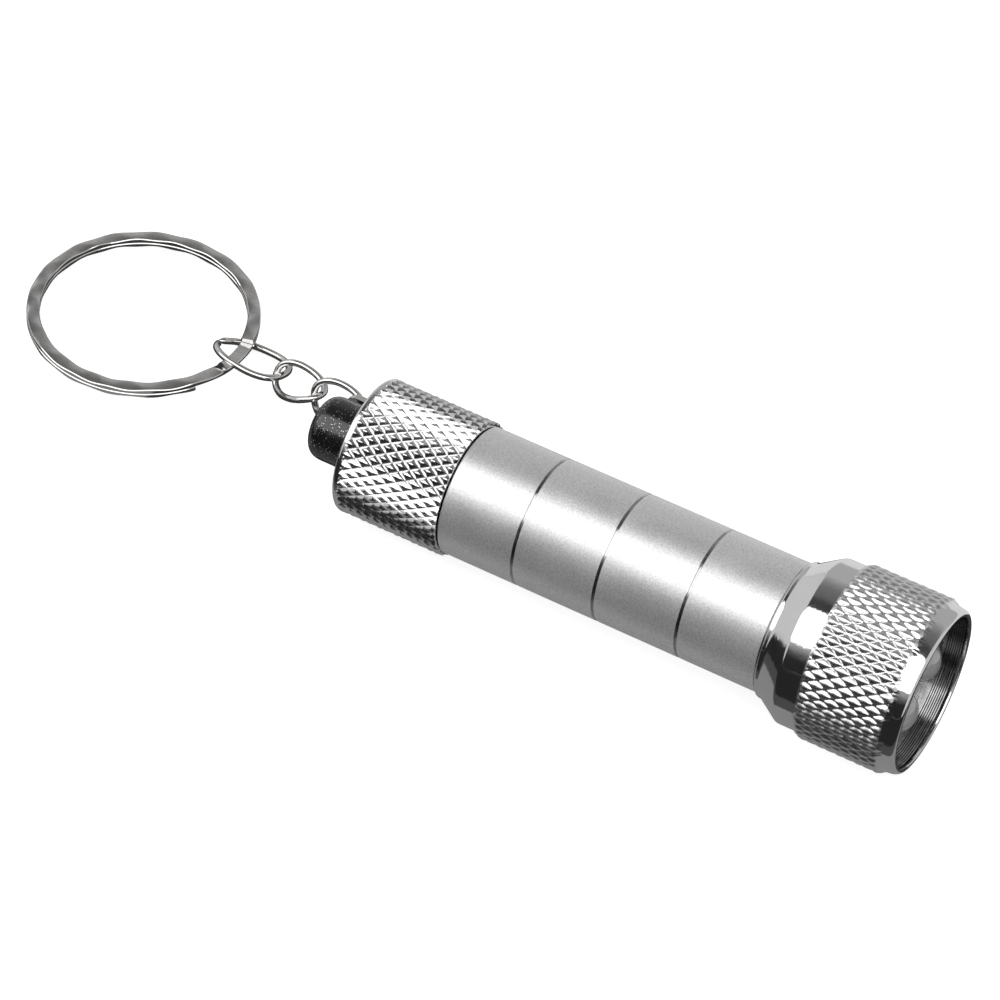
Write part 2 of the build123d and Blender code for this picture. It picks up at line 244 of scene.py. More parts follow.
class Tree:
    """Short ways to add and link the nodes of one material."""

    def __init__(self, material, surface):
        self.tree, self.surface = material.node_tree, surface
        self.place = self.add("ShaderNodeTexCoord").outputs["Object"]

    def add(self, kind, **settings):
        node = self.tree.nodes.new(kind)
        for label, value in settings.items():
            setattr(node, label, value)
        return node

    def link(self, source, target):
        self.tree.links.new(source, target)

    def stretched(self, x, y, z):
        """The object's coordinates, scaled along each axis."""
        node = self.add("ShaderNodeMapping")
        self.link(self.place, node.inputs["Vector"])
        node.inputs["Scale"].default_value = (x, y, z)
        return node.outputs["Vector"]

    def noise(self, size, detail=3.0, place=None, roughness=0.55):
        """Noise whose features are about size millimetres across."""
        node = self.add("ShaderNodeTexNoise")
        self.link(place or self.place, node.inputs["Vector"])
        node.inputs["Scale"].default_value = 1 / (size * MM)
        node.inputs["Detail"].default_value = detail
        node.inputs["Roughness"].default_value = roughness
        return node.outputs["Fac"]

    def cells(self, size, output="Distance"):
        node = self.add("ShaderNodeTexVoronoi")
        self.link(self.place, node.inputs["Vector"])
        node.inputs["Scale"].default_value = 1 / (size * MM)
        return node.outputs[output]

    def ramp(self, source, *stops):
        """Colours, or greys as single numbers, at places from 0 to 1."""
        node = self.add("ShaderNodeValToRGB")
        self.link(source, node.inputs["Fac"])
        while len(node.color_ramp.elements) < len(stops):
            node.color_ramp.elements.new(0.5)
        for element, (place, value) in zip(node.color_ramp.elements, stops):
            element.position = place
            element.color = (*value, 1) if isinstance(value, tuple) else (value, value, value, 1)
        return node.outputs["Color"]

    def sums(self, operation, first, second):
        """One math node on two values or sockets."""
        node = self.add("ShaderNodeMath", operation=operation)
        for socket, value in zip(node.inputs, (first, second)):
            if isinstance(value, (int, float)):
                socket.default_value = value
            else:
                self.link(value, socket)
        return node.outputs["Value"]

    def bump(self, height, depth, after=None):
        """Bump whose full height is depth millimetres."""
        node = self.add("ShaderNodeBump")
        self.link(height, node.inputs["Height"])
        node.inputs["Distance"].default_value = depth * MM
        if after:
            self.link(after, node.inputs["Normal"])
        return node.outputs["Normal"]

    def to(self, label, source):
        self.link(source, self.surface.inputs[label])


def grey(value):
    """A neutral grey with a trace of blue."""
    return value, value, value * 1.01


def metal(name, light, dark, low, high, grain, depth, mottle=6.0, lines=None):
    """A metal: mottled colour, roughness from low to high, and a fine grain of a size and depth.

    lines are the spacing and depth of tool marks that run round the X axis.
    """
    material, surface = shader(name, metallic=1.0)
    t = Tree(material, surface)
    patches = t.noise(mottle, 4)
    t.to("Base Color", t.ramp(patches, (0.3, dark), (0.7, light)))
    smears = t.noise(mottle / 3, 5, t.stretched(0.4, 1.3, 1.0))
    t.to("Roughness", t.ramp(smears, (0.35, low), (0.7, high)))
    normal = t.bump(t.noise(grain, 2), depth)
    if lines:
        spacing, line_depth = lines
        normal = t.bump(t.noise(spacing, 2, t.stretched(1.0, 0.02, 0.02)), line_depth, normal)
    t.to("Normal", normal)
    return material


def satin_aluminium():
    """Bead-blasted aluminium: a fine sparkling grain over a soft broad gloss."""
    material, surface = shader("satin_aluminium", metallic=0.8)
    t = Tree(material, surface)
    grain = t.noise(0.19, 2.0, roughness=0.7)
    t.to("Base Color", t.ramp(grain, (0.3, (0.64, 0.64, 0.645)), (0.7, (0.92, 0.92, 0.925))))
    t.to("Roughness", t.ramp(t.noise(4.0, 3), (0.35, 0.40), (0.7, 0.46)))
    t.to("Normal", t.bump(grain, 0.012))
    return material


def plastic(name, light, dark, low, high, grain, depth, **settings):
    """A moulded plastic or rubber: slightly uneven colour and gloss over a fine texture."""
    material, surface = shader(name, **settings)
    t = Tree(material, surface)
    t.to("Base Color", t.ramp(t.noise(2.5, 4), (0.3, dark), (0.7, light)))
    t.to("Roughness", t.ramp(t.noise(0.9, 4), (0.3, low), (0.7, high)))
    t.to("Normal", t.bump(t.noise(grain, 3), depth))
    return material


def glitter_black():
    """Glossy black plastic with fine silver flakes at random tilts."""
    material, surface = shader("glitter_black", ior=1.5, coat=0.5, coat_roughness=0.08)
    t = Tree(material, surface)
    flake_size, rarity, flake_reach = 0.11, 0.88, 0.4
    drawn = t.cells(flake_size, "Color")
    parts = t.add("ShaderNodeSeparateColor")
    t.link(drawn, parts.inputs["Color"])
    chosen = t.sums("GREATER_THAN", parts.outputs["Red"], rarity)
    inside = t.sums("LESS_THAN", t.cells(flake_size), flake_reach)
    flake = t.sums("MULTIPLY", chosen, inside)
    t.to("Metallic", flake)
    t.to("Base Color", t.ramp(flake, (0.0, (0.006, 0.006, 0.007)), (1.0, (0.75, 0.76, 0.78))))
    t.to("Roughness", t.ramp(t.noise(1.4, 4), (0.3, 0.16), (0.7, 0.28)))
    tilt = t.sums("MULTIPLY", flake, parts.outputs["Green"])
    normal = t.bump(t.noise(0.6, 3), 0.002)
    t.to("Normal", t.bump(tilt, 0.03, normal))
    return material


def clear_resin():
    """Clear epoxy with faint flow marks."""
    material, surface = shader("clear_resin", ior=1.53, transmission=0.7, coat=1.0,
                               coat_roughness=0.02, coat_ior=2.0)
    t = Tree(material, surface)
    t.to("Base Color", t.ramp(t.noise(1.5, 2), (0.3, (0.95, 0.97, 0.98)), (0.7, (1.0, 1.0, 1.0))))
    t.to("Roughness", t.ramp(t.noise(0.8, 3), (0.4, 0.0), (0.75, 0.05)))
    t.to("Normal", t.bump(t.noise(1.1, 1), 0.006))
    return material


def board_green():
    """Solder mask over copper traces, with a fine weave below."""
    material, surface = shader("board_green", ior=1.5)
    t = Tree(material, surface)
    traces = t.ramp(t.cells(1.6), (0.42, 0.0), (0.46, 1.0))
    t.to("Base Color", t.ramp(traces, (0.0, (0.02, 0.16, 0.07)), (1.0, (0.05, 0.28, 0.12))))
    t.to("Roughness", t.ramp(t.noise(0.7, 3), (0.3, 0.25), (0.7, 0.42)))
    t.to("Normal", t.bump(traces, 0.02, t.bump(t.noise(0.12, 1), 0.01)))
    return material


def make_materials():
    return {
        "satin_aluminium": satin_aluminium(),
        "polished_chrome": metal("polished_chrome", grey(0.88), grey(0.82), 0.06, 0.13, 1.1, 0.014),
        "knurl_chrome": metal("knurl_chrome", grey(0.88), grey(0.76), 0.12, 0.22, 0.5, 0.018, 2.5),
        "cushion_chrome": metal("cushion_chrome", grey(0.88), grey(0.78), 0.26, 0.36, 0.5, 0.012, 2.5),
        # cut_metal_painted_shade: metal darkened as painted shade in the barrel's grooves; the spigots
        # share it
        "cut_metal_painted_shade": metal("cut_metal_painted_shade", grey(0.66), grey(0.52), 0.12, 0.22, 0.3, 0.002, 2.0),
        "turned_chrome": metal("turned_chrome", grey(0.80), grey(0.66), 0.10, 0.2, 0.4, 0.001, 3.0,
                               lines=(0.22, 0.016)),
        # bore_painted_shade: chrome darkened as painted shade inside the head's mouth, with fine turned
        # lines
        "bore_painted_shade": metal("bore_painted_shade", grey(0.42), grey(0.2), 0.12, 0.22, 0.3, 0.002, 2.0,
                            lines=(0.12, 0.02)),
        "nickel_wire": metal("nickel_wire", (0.82, 0.81, 0.80), (0.66, 0.65, 0.64), 0.08, 0.18,
                             0.6, 0.012, 2.0),
        "spring_steel": metal("spring_steel", grey(0.62), grey(0.5), 0.2, 0.34, 0.2, 0.003, 1.0),
        "tinned_lead": metal("tinned_lead", grey(0.74), grey(0.6), 0.2, 0.35, 0.2, 0.004, 0.8),
        "brass": metal("brass", (0.80, 0.60, 0.26), (0.68, 0.47, 0.18), 0.18, 0.34, 0.25, 0.003, 1.5),
        "cell_steel": metal("cell_steel", grey(0.75), grey(0.62), 0.16, 0.3, 0.3, 0.002, 3.0,
                            lines=(0.3, 0.003)),
        "dark_rubber": plastic("dark_rubber", grey(0.03), grey(0.018), 0.5, 0.7, 0.15, 0.01),
        "white_plastic": plastic("white_plastic", (0.84, 0.84, 0.82), (0.72, 0.72, 0.70), 0.35, 0.5,
                                 0.2, 0.006),
        "black_plastic": plastic("black_plastic", grey(0.035), grey(0.02), 0.32, 0.48, 0.2, 0.006),
        "sleeve_film": plastic("sleeve_film", grey(0.11), grey(0.07), 0.2, 0.34, 0.6, 0.01),
        "chip_black": plastic("chip_black", grey(0.05), grey(0.03), 0.4, 0.55, 0.1, 0.004),
        "glitter_black": glitter_black(),
        "clear_resin": clear_resin(),
        "board_green": board_green(),
    }


MATERIALS = make_materials()

# The finishes of the head and the tail cap, and the places of each in their pieces' slots.
CHROME = tuple(MATERIALS[name] for name in
               ("polished_chrome", "turned_chrome", "knurl_chrome", "bore_painted_shade", "cushion_chrome"))
POLISHED, TURNED, KNURLED, PAINTED_SHADE_BORE, CUSHIONED = range(5)


# ---- torch --------------------------------------------------------------------------------------
def pillow(first, second, x, front, rear):
    """Cushions that swell from narrow grooves to a rounded crown."""
    ends = smooth_step(0, 0.5, front - x) * smooth_step(0, 0.5, x - rear)
    return ends * (1 - (1 - first) ** 2.4) * (1 - (1 - second) ** 2.4)


def pyramid(first, second, x, front, rear):
    """Slightly rounded pyramids, cut into the mouth and run out towards the rear lip."""
    rise = 1 - (1 - min(first, second)) ** 1.5
    return max(rise, 1 - smooth_step(0.0, 0.35, x - rear))


def groove_stations(middle, bright):
    """A V groove with a narrow floor. Satin skin meets it at a slight break on either side."""
    half, floor_half, depth, margin, drop = 0.15, 0.05, 0.17, 0.05, 0.01
    cut = plain((middle + half, BARREL_R - drop), (middle + floor_half, BARREL_R - depth),
                (middle - floor_half, BARREL_R - depth), (middle - half, BARREL_R - drop),
                finish=bright)
    return plain((middle + half + margin, BARREL_R)) + cut + plain((middle - half - margin, BARREL_R))


def make_barrel():
    """Bead-blasted tube, cut grooves in a darker metal that paints their shade, and a threaded spigot
    at each end.
    """
    bright = 1
    edge, chamfer, neck_r = 0.12, 0.1, 6.3
    front_end, rear_end, end_r = -12.85, -56.3, 6.15
    seat_front, seat_rear, seat_r = -14.6, -15.9, 6.45
    ridge = thread(THREAD_PITCH, -0.3)
    stations = plain((front_end - chamfer, BARREL_BORE), (front_end, BARREL_BORE + chamfer),
                     (front_end, end_r), finish=bright)
    stations += [(x, SPIGOT_R, bright, ridge) for x in even(front_end - chamfer, seat_front + 0.05, 17)]
    stations += plain((seat_front, seat_r), (seat_rear, seat_r), (seat_rear - chamfer, neck_r),
                      (BARREL_FRONT, neck_r), (BARREL_FRONT, BARREL_R - edge), finish=bright)
    stations += plain((BARREL_FRONT - edge, BARREL_R))
    for groove in GROOVES:
        stations += groove_stations(groove, bright)
    stations += plain((BARREL_REAR + edge, BARREL_R))
    stations += plain((BARREL_REAR, BARREL_R - edge), (BARREL_REAR, neck_r),
                      (BARREL_REAR - 0.25, neck_r), finish=bright)
    stations += [(x, SPIGOT_R, bright, ridge) for x in even(BARREL_REAR - 0.3, rear_end + chamfer, 38)]
    stations += plain((rear_end, end_r), (rear_end, BARREL_BORE + chamfer),
                      (rear_end + chamfer, BARREL_BORE), finish=bright)
    add_piece("barrel_tube", "barrel", turned_mesh(stations, 192),
              (MATERIALS["satin_aluminium"], MATERIALS["cut_metal_painted_shade"]), ["barrel"])


def make_head():
    """Chrome bell: rolled front lip, pillow knurl, smooth band, cone and rear collar."""
    count, pitch, cells, depth = 48, 2.06, 12, 0.23
    relief = knurl(count, pitch, depth, KNURL_FRONT, KNURL_REAR, pillow)
    step = pitch / cells
    rows = int((KNURL_FRONT - KNURL_REAR) / step)
    first = -step * int(-KNURL_FRONT / step + 1)
    rim_r, rim_depth, lip_rear = 8.36, 0.3, -1.25
    stations = rounded((-rim_depth, HEAD_MOUTH), (0.0, HEAD_MOUTH), (0.0, rim_r), 6)
    stations += rounded((0.0, rim_r), (0.0, HEAD_BAND - 0.04), (lip_rear, HEAD_BAND), 18)[1:]
    stations += [(first - k * step, HEAD_CREST - depth, CUSHIONED, relief) for k in range(rows)]
    stations += plain((KNURL_REAR, HEAD_CREST - depth), (KNURL_REAR - 0.08, HEAD_BAND))

    bend, cone_r, cone_foot, cone_foot_r = 0.2, 8.82, -15.3, 7.58
    collar_front, collar_rear, collar_r, collar_end_r = -15.75, -15.95, 7.36, 7.12
    stations += rounded((CONE_FRONT + bend, HEAD_BAND), (CONE_FRONT, HEAD_BAND),
                        (CONE_FRONT - bend, cone_r), 4)
    stations += rounded((cone_foot, cone_foot_r), (-15.62, collar_r), (collar_front, collar_r), 4)
    stations += rounded((collar_rear, collar_r), (HEAD_REAR, 7.34), (HEAD_REAR, collar_end_r), 5)

    gland_front, gland_rear, gland_r, bore_front = -14.7, -15.3, 7.1, -12.6
    groove = thread(THREAD_PITCH, 0.26)
    stations += plain((HEAD_REAR, THREAD_BORE + 0.15), (HEAD_REAR + 0.15, THREAD_BORE),
                      (gland_rear, THREAD_BORE), (gland_rear, gland_r), (gland_front, gland_r),
                      (gland_front, THREAD_BORE))
    stations += [(x, THREAD_BORE, POLISHED, groove)
                 for x in even(gland_front + 0.1, bore_front - 0.1, 20)]
    stations += plain((bore_front, THREAD_BORE), (bore_front, HEAD_CHAMBER), (BOARD_BACK, HEAD_CHAMBER))

    lines_from, line_count, line_pitch, line_depth = -2.3, 8, 0.23, 0.05
    # The mouth's inner wall takes the darkened chrome: painted shade inside the mouth.
    stations += plain((BOARD_BACK, HEAD_MOUTH), (lines_from, HEAD_MOUTH), finish=PAINTED_SHADE_BORE)
    for k in range(line_count):
        at = lines_from + k * line_pitch
        stations += plain((at + line_pitch / 2, HEAD_MOUTH + line_depth), (at + line_pitch, HEAD_MOUTH),
                          finish=PAINTED_SHADE_BORE)
    add_piece("head_bell", "head", turned_mesh(stations, count * cells), CHROME,
              ["head_bezel"])


def make_tail_cap():
    """Chrome cup: pyramid knurl from its sawtooth mouth to a thin lip, and a turned tail face."""
    count, pitch, cells, depth = 38, 2.0, 12, 0.33
    lip_front, lip_r, mouth_r = TAIL_FACE + 0.55, 7.0, 6.8
    relief = knurl(count, pitch, depth, TAIL_MOUTH, lip_front, pyramid)
    step = pitch / cells
    first = step * round((TAIL_MOUTH - 0.05) / step)
    stations = plain((TAIL_MOUTH, THREAD_BORE + 0.1), (TAIL_MOUTH, mouth_r))
    stations += [(first - k * step, TAIL_CREST - depth, KNURLED, relief)
                 for k in range(int((first - lip_front) / step) + 1)]
    stations += rounded((TAIL_FACE + 0.45, TAIL_CREST), (TAIL_FACE, TAIL_CREST), (TAIL_FACE, lip_r), 7)
    hole_round = 0.3
    stations += rounded((TAIL_FACE, BUTTON_HOLE + hole_round), (TAIL_FACE, BUTTON_HOLE),
                        (TAIL_FACE + hole_round, BUTTON_HOLE), 4, finish=TURNED)
    pocket_rear, pocket_front, pocket_r = TAIL_FACE + 2, -60.6, 5.2
    chamber_front, chamber_r = -56.6, 6.5
    stations += plain((pocket_rear, BUTTON_HOLE), (pocket_rear, pocket_r), (pocket_front, pocket_r),
                      (pocket_front, chamber_r), (chamber_front, chamber_r))
    groove = thread(THREAD_PITCH, 0.26)
    stations += [(x, THREAD_BORE, POLISHED, groove)
                 for x in even(chamber_front + 0.1, TAIL_MOUTH - 0.2, 38)]
    add_piece("tail_cup", "tail_cap", turned_mesh(stations, count * cells), CHROME,
              ["tail_cap"])


def make_button():
    """Black button with a softly rounded end, and its stem inside the cap."""
    flange_rear, flange_front, flange_r = -62.7, -61.9, 4.3
    rounding, shank_middle, stem_front, stem_r = 1.9, -66.0, -58.0, 2.0
    stations = plain((BUTTON_END, 0), (BUTTON_END + 0.02, 0.7), (BUTTON_END + 0.08, 1.3))
    stations += rounded((BUTTON_END + 0.13, 1.9), (BUTTON_END + 0.3, BUTTON_R),
                        (BUTTON_END + rounding, BUTTON_R), 16)
    stations += plain((shank_middle, BUTTON_R), (flange_rear, BUTTON_R), (flange_rear, flange_r),
                      (flange_front, flange_r), (flange_front, stem_r), (stem_front, stem_r),
                      (stem_front, 0))
    add_piece("button_cap", "button", turned_mesh(stations, 128),
              (MATERIALS["glitter_black"],), ["push_button"])


def make_button_spring():
    """Coil behind the button."""
    rear, front, travel = SPRING_REAR, SPRING_FRONT, BUTTON_TRAVEL
    mean_r, wire_r, turns = 2.2, 0.2, 4
    count = turns * 32
    pitch = (front - rear - 2 * wire_r) / count
    angles = [2 * pi * turns * k / count for k in range(count + 1)]
    centres = [Vector((rear + wire_r + pitch * k, mean_r * cos(a), mean_r * sin(a)))
               for k, a in enumerate(angles)]
    ups = [Vector((0, cos(a), sin(a))) for a in angles]
    shape = wire_mesh(centres, ups, lambda k: round_section(wire_r, 12), False)
    spring = add_piece("button_coil", "switch_cartridge", shape,
                       (MATERIALS["spring_steel"],), ["button_spring"])
    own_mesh(spring)


def lamp_place(k, vertices):
    """Points of a lamp that lies on the X axis, moved to the k-th lamp's place."""
    turn = Quaternion((1, 0, 0), radians(LED_FIRST_ANGLE + 360 / LED_COUNT * k))
    return [turn @ (Vector(v) + Vector((0, LED_PITCH_R, 0))) for v in vertices]


def lamp_body():
    """The clear resin of a lamp: a flange, a shank and a round dome."""
    dome, edge, rounds = LED_TIP - LED_R, 0.08, 16
    stations = plain((LED_BACK, 0), (LED_BACK, LED_FLANGE_R - edge), (LED_BACK + edge, LED_FLANGE_R),
                     (LED_SHOULDER - edge, LED_FLANGE_R), (LED_SHOULDER, LED_FLANGE_R - edge),
                     (LED_SHOULDER, LED_R))
    stations += plain(*[(dome + LED_R * sin(pi / 2 * j / rounds), LED_R * cos(pi / 2 * j / rounds))
                        for j in range(rounds)], (LED_TIP, 0))
    return turned_mesh(stations, 64)


def lamp_frame():
    """The metal cast inside a lamp: a turned cup, and two blades that narrow towards the leads."""
    cup_back, cup_front, cup_depth = -5.95, -5.1, 0.42
    stations = plain((cup_back, 0), (cup_back, 0.55), (cup_front, 0.95), (cup_front, 0.82),
                     (cup_front - cup_depth, 0.5), (cup_front - cup_depth, 0))
    vertices, faces, finishes = turned_mesh(stations, 40)
    half, lead_rear, lead_front, blade_rear = 0.22, LED_BACK + 0.3, -8.0, -7.5
    blades = ((-1.55, -0.62, cup_back - 0.05), (0.35, 1.5, cup_back + 0.25))
    for low, high, front in blades:
        start, middle = len(vertices), (low + high) / 2
        for x, a, b in ((lead_rear, middle - half, middle + half),
                        (lead_front, middle - half, middle + half),
                        (blade_rear, low, high), (front, low, high)):
            vertices += [(x, -half, a), (x, half, a), (x, half, b), (x, -half, b)]
        for row in range(3):
            at = start + 4 * row
            faces += [(at + i, at + (i + 1) % 4, at + 4 + (i + 1) % 4, at + 4 + i) for i in range(4)]
        faces += [tuple(range(start, start + 4)), tuple(range(start + 12, start + 16))]
        finishes += [0] * 14
    return vertices, faces, finishes


def make_lamp(k):
    """Clear 5 mm lamp: the domed resin body, and the frame and cup cast inside it."""
    vertices, faces, finishes = lamp_body()
    add_piece(f"lamp_{k + 1}_body", "head", (lamp_place(k, vertices), faces, finishes),
              (MATERIALS["clear_resin"],), [f"led_{k + 1}"])
    vertices, faces, finishes = lamp_frame()
    add_piece(f"lamp_{k + 1}_frame", "head", (lamp_place(k, vertices), faces, finishes),
              (MATERIALS["tinned_lead"],))


# ---- chain and ring -----------------------------------------------------------------------------
def link_ends():
    """For each link, the centres of its wire at its two ends."""
    points = [Vector(p) for p in CHAIN_POINTS]
    half_step = WIRE_R + LINK_GAP / 2
    ends = []
    for k in range(3):
        along = (points[k] - points[k + 1]).normalized()
        near = points[k] if k == 0 else points[k] + along * half_step
        ends.append((near, points[k + 1] - along * half_step))
    return ends


def link_line(near, far, width, roll, twist, turns):
    """Points on a link's wire, and its plane's normals, at turns round its long oval."""
    squareness = 0.85
    along = (near - far).normalized()
    across = Vector((0, 0, 1)).cross(along).normalized()
    out = along.cross(across)
    centres, ups = [], []
    for turn in turns:
        u = abs(cos(turn)) ** squareness * (1 if cos(turn) > 0 else -1)
        v = abs(sin(turn)) ** squareness * (1 if sin(turn) > 0 else -1)
        angle = radians(roll + twist * u)
        side = across * cos(angle) + out * sin(angle)
        centres.append((near + far) * 0.5 + along * ((near - far).length / 2 * u)
                       + side * ((width / 2 - WIRE_R) * v))
        ups.append(out * cos(angle) - across * sin(angle))
    return centres, ups


def round_section(radius, count=20):
    turns = [2 * pi * i / count for i in range(count)]
    return [(radius * cos(turn), radius * sin(turn)) for turn in turns]


def make_link(index, name, node):
    """A closed curb link of round wire, its thickness slightly uneven from drawing and bending."""
    near, far = link_ends()[index]
    count = 160
    centres, ups = link_line(near, far, *LINK_SHAPES[index], [2 * pi * k / count for k in range(count)])

    def section(k):
        worn = 1 - 0.035 * (0.5 + 0.5 * noise.noise(centres[k] * 0.9))
        return round_section(WIRE_R * worn)
    add_piece(name, node_body(node), wire_mesh(centres, ups, section, True),
              (MATERIALS["nickel_wire"],), [node])


def node_body(node):
    return frame["nodes"][node]["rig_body"]


def make_jump_link():
    """The open link on the split ring: its cut end is a point that stands out past the loop."""
    near, far = link_ends()[2]
    count, start, end = 150, pi + 0.22, 3 * pi - 0.35
    turns = [start + (end - start) * k / count for k in range(count + 1)]
    centres, ups = link_line(near, far, *LINK_SHAPES[2], turns)
    away = (centres[-1] - centres[-2]).normalized()
    lead, step, point = 14, 0.11, 6
    for _ in range(lead):
        centres.append(centres[-1] + away * step)
        ups.append(ups[-1])

    def section(k):
        left = len(centres) - 1 - k
        return round_section(WIRE_R * (0.25 + 0.75 * min(1.0, left / point) ** 0.7))
    add_piece("jump_link_open", "jump_link", wire_mesh(centres, ups, section, False),
              (MATERIALS["nickel_wire"],), ["jump_link"])


def make_ring():
    """Flat wire wound twice. The top and bottom of the ring are hammered into a wandering ridge."""
    steps_per_turn, flats = 240, 17
    overrun = 4.0
    first, last = JOG_TO, JOG_FROM + 720 + overrun
    count = int((last - first) / 360 * steps_per_turn)
    tilt = Quaternion((0, 1, 0), radians(RING_TILT))
    bottom, top = -(RING_LAYER + RING_GAP) / 2, (RING_LAYER + RING_GAP) / 2
    middle_r = RING_R - RING_WIDTH / 2
    centres, ups, angles = [], [], []
    for k in range(count + 1):
        angle = first + (last - first) * k / count
        part = smooth_step(360 + JOG_FROM, 360 + JOG_TO, angle)
        height = top + (bottom - top) * part
        turn = radians(angle)
        place = Vector((middle_r * cos(turn), middle_r * sin(turn), height))
        centres.append(Vector(RING_CENTRE) + tilt @ place)
        ups.append(tilt @ Vector((0, 0, 1)))
        angles.append(angle)
    half_w, half_h, corner, slope, reach = RING_WIDTH / 2, RING_LAYER / 2, 0.08, 0.15, 0.5
    crossover = 360 + (JOG_FROM + JOG_TO) / 2

    def section(k):
        """The struck face has a flat on either side of its ridge. It is the upper face on the first
        turn and the lower one on the second, so that it is always the outside of the pair."""
        swing = radians(angles[k]) * flats + 1.3 * noise.noise(Vector((angles[k] / 40, 3, 7)))
        ridge = reach * cos(swing)
        inner, outer = half_h - slope * (half_w - ridge), half_h - slope * (half_w + ridge)
        struck = [(half_w, inner - corner), (half_w - corner, inner), (ridge, half_h),
                  (corner - half_w, outer), (-half_w, outer - corner)]
        flat = [(-half_w, corner - half_h), (corner - half_w, -half_h), (ridge, -half_h),
                (half_w - corner, -half_h), (half_w, corner - half_h)]
        points = struck + flat
        return points if angles[k] < crossover else [(a, -b) for a, b in reversed(points)]
    add_piece("ring_wire", "key_ring", wire_mesh(centres, ups, section, False),
              (MATERIALS["nickel_wire"],), ["split_ring"], crease=26.0)


# ---- CAD nodes that stay ------------------------------------------------------------------------
def paint_cad_nodes():
    """Every node that stays gets the material of its slot."""
    slots = {
        "battery_sleeve": "sleeve_film", "head_o_ring": "dark_rubber", "led_holder": "black_plastic",
        "led_leads": "tinned_lead", "led_board": "board_green", "led_resistor": "chip_black",
        "board_pad": "brass", "front_spring": "spring_steel", "switch_housing": "black_plastic",
        "switch_plunger": "white_plastic", "ratchet_rotor": "white_plastic", "contact_bridge": "brass",
        "contact_plate": "brass", "battery_spring": "spring_steel", "ground_ring": "brass",
        "chain_eye": "nickel_wire",
    }
    for name, node in frame["nodes"].items():
        slot = "cell_steel" if name.startswith("cell_") else slots.get(name)
        if slot:
            node.data.materials.clear()
            node.data.materials.append(MATERIALS[slot])


# ---- floor, light and camera --------------------------------------------------------------------
FLOOR_TILT = 2.12
FLOOR_AT_TAIL = -7.45
FLOOR_HALF = 3000
TORCH_MIDDLE = -45
CARD_HALF_LENGTH, CARD_DISTANCE = 700, 900


def floor_height(x):
    return FLOOR_AT_TAIL + (TAIL_FACE - x) * tan(radians(FLOOR_TILT))


def floor_corners(low_x, high_x, low_y, high_y, lift=0.0):
    """The corners of a rectangle that lies on the floor, or a little above it."""
    return [(x, y, floor_height(x) + lift)
            for x, y in ((low_x, low_y), (high_x, low_y), (high_x, high_y), (low_x, high_y))]


def glow(name, brightness):
    """A material that only emits."""
    material = bpy.data.materials.new(name)
    material.use_nodes = True
    nodes, links = material.node_tree.nodes, material.node_tree.links
    nodes.clear()
    light = nodes.new("ShaderNodeEmission")
    light.inputs["Color"].default_value = (brightness, brightness, brightness, 1)
    links.new(light.outputs["Emission"], nodes.new("ShaderNodeOutputMaterial").inputs["Surface"])
    return material


def add_sheet(name, corners, material):
    """A staged flat sheet with four corners."""
    mesh = bpy.data.meshes.new(name)
    mesh.from_pydata([Vector(c) * MM for c in corners], [], [(0, 1, 2, 3)])
    mesh.materials.append(material)
    sheet = bpy.data.objects.new(name, mesh)
    bpy.context.scene.collection.objects.link(sheet)
    return sheet


def make_floor():
    """Pale floor. Its even glow is for the camera alone, so it lights nothing."""
    material, surface = shader("pale_floor", roughness=0.7, colour=(0.45, 0.45, 0.45, 1))
    seen = material.node_tree.nodes.new("ShaderNodeLightPath").outputs["Is Camera Ray"]
    material.node_tree.links.new(seen, surface.inputs["Emission Strength"])
    surface.inputs["Emission Color"].default_value = (0.8, 0.8, 0.8, 1)
    add_sheet("floor", floor_corners(-FLOOR_HALF, FLOOR_HALF, -FLOOR_HALF, FLOOR_HALF), material)


def add_arc_card(name, *stops):
    """A curved card along the torch, seen only in reflections. A stop is an angle round the X axis
    and the card's brightness there."""
    parts = 8
    steps = [(low + (high - low) * k / parts, first + (last - first) * k / parts)
             for (low, first), (high, last) in zip(stops, stops[1:]) for k in range(parts)]
    steps.append(stops[-1])
    across = [(CARD_DISTANCE * cos(radians(angle)), CARD_DISTANCE * sin(radians(angle)))
              for angle, _ in steps]
    corners = [(TORCH_MIDDLE + end, y, z) for y, z in across
               for end in (-CARD_HALF_LENGTH, CARD_HALF_LENGTH)]
    mesh = bpy.data.meshes.new(name)
    mesh.from_pydata([Vector(c) * MM for c in corners], [],
                     [(2 * k, 2 * k + 1, 2 * k + 3, 2 * k + 2) for k in range(len(steps) - 1)])
    shades = mesh.color_attributes.new("glow", "FLOAT_COLOR", "POINT")
    for k, (_, brightness) in enumerate(steps):
        for corner in (2 * k, 2 * k + 1):
            shades.data[corner].color = (brightness, brightness, brightness, 1)
    material = glow(name, 1.0)
    nodes = material.node_tree.nodes
    shade = nodes.new("ShaderNodeVertexColor")
    shade.layer_name = "glow"
    material.node_tree.links.new(shade.outputs["Color"], nodes["Emission"].inputs["Color"])
    mesh.materials.append(material)
    card = bpy.data.objects.new(name, mesh)
    bpy.context.scene.collection.objects.link(card)
    hide_card(card)


def hide_card(card):
    """Leaves a card in reflections only."""
    card.visible_camera = card.visible_diffuse = card.visible_shadow = False
    card.visible_transmission = card.visible_volume_scatter = False


def add_floor_card(name, low_y, high_y, brightness):
    """A card on the floor beside the torch, seen only in reflections."""
    corners = floor_corners(TORCH_MIDDLE - CARD_HALF_LENGTH, TORCH_MIDDLE + CARD_HALF_LENGTH,
                            low_y, high_y, lift=0.1)
    hide_card(add_sheet(name, corners, glow(name, brightness)))


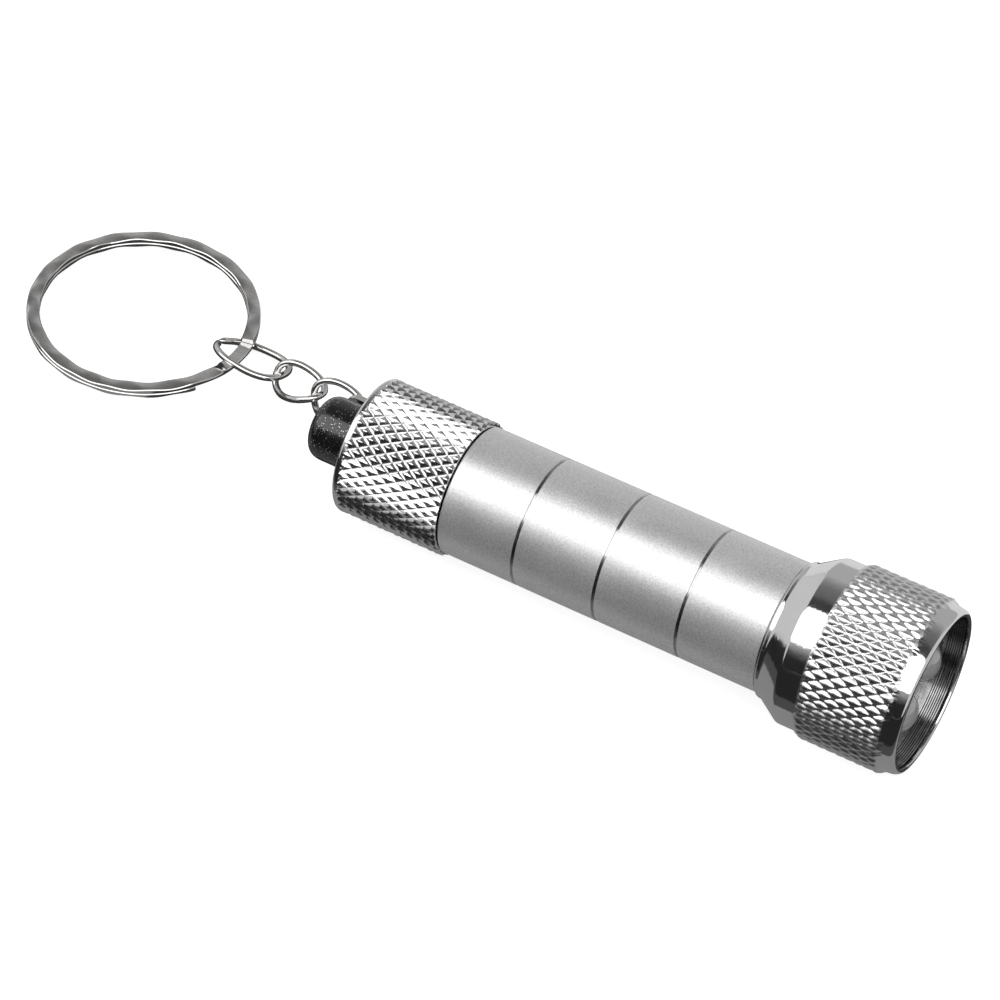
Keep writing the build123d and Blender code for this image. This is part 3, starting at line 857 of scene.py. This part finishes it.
def add_softbox(name, angle, distance, width, length, power, axis_x):
    """An area light that faces the X axis at axis_x, from an angle round it."""
    lamp = bpy.data.lights.new(name, "AREA")
    lamp.shape, lamp.size, lamp.size_y = "RECTANGLE", length * MM, width * MM
    lamp.energy = power
    box = bpy.data.objects.new(name, lamp)
    direction = Vector((0, cos(radians(angle)), sin(radians(angle))))
    box.location = (Vector((axis_x, 0, 0)) + direction * distance) * MM
    box.rotation_mode = "QUATERNION"
    across = Vector((1, 0, 0))
    up = direction.cross(across)
    box.rotation_quaternion = Matrix((across, up, direction)).transposed().to_quaternion()
    box.visible_camera = False
    bpy.context.scene.collection.objects.link(box)


def make_light():
    """One softbox above, an even grey world, and cards that give the metal something to reflect."""
    add_softbox("softbox", angle=119, distance=600, width=560, length=1900, power=5.0, axis_x=-330)
    add_arc_card("card_back", (-4, 0.42), (38, 0.42), (48, 0.27), (58, 0.17), (74, 0.13), (82, 0.05),
                 (96, 0.04))
    add_arc_card("card_front", (141, 0.42), (149, 0.3), (156, 0.1), (163, 0.02), (184, 0.02))
    # The floor cards paint the floor as the metal sees it: the dark strips near and under the torch are
    # painted shade and shadow, and the far strip is painted lit floor.
    edges, shades = (-700, -19, -13, -3, 26, 900), (0.02, 0.07, 0.25, 0.05, 0.7)
    for k, brightness in enumerate(shades):
        add_floor_card(f"card_floor_{k + 1}", edges[k], edges[k + 1], brightness)
    world = bpy.data.worlds.new("studio")
    world.use_nodes = True
    world.node_tree.nodes["Background"].inputs["Color"].default_value = (0.6, 0.6, 0.6, 1)
    bpy.context.scene.world = world


def make_camera():
    """A long lens, above and in front of the torch."""
    camera_data = bpy.data.cameras.new("camera")
    camera_data.lens, camera_data.sensor_width = 148, 36
    camera_data.clip_start, camera_data.clip_end = 0.01, 20
    camera = bpy.data.objects.new("camera", camera_data)
    aim, distance, roll = Vector((-49.3, 0.33, 0)), 420.0, 4.54
    back = Vector((0.3153, -0.6362, 0.7042)).normalized()
    camera.location = (aim + back * distance) * MM
    camera.rotation_mode = "QUATERNION"
    camera.rotation_quaternion = (-back).to_track_quat("-Z", "Y") @ Quaternion((0, 0, 1), radians(roll))
    bpy.context.scene.collection.objects.link(camera)
    bpy.context.scene.camera = camera


def main():
    make_barrel()
    make_head()
    make_tail_cap()
    make_button()
    make_button_spring()
    for k in range(LED_COUNT):
        make_lamp(k)
    make_link(0, "curb_link_1", "chain_link_1")
    make_link(1, "curb_link_2", "chain_link_2")
    make_jump_link()
    make_ring()
    paint_cad_nodes()
    make_floor()
    make_light()
    make_camera()
    bpy.context.scene.view_settings.view_transform = "Standard"


main()
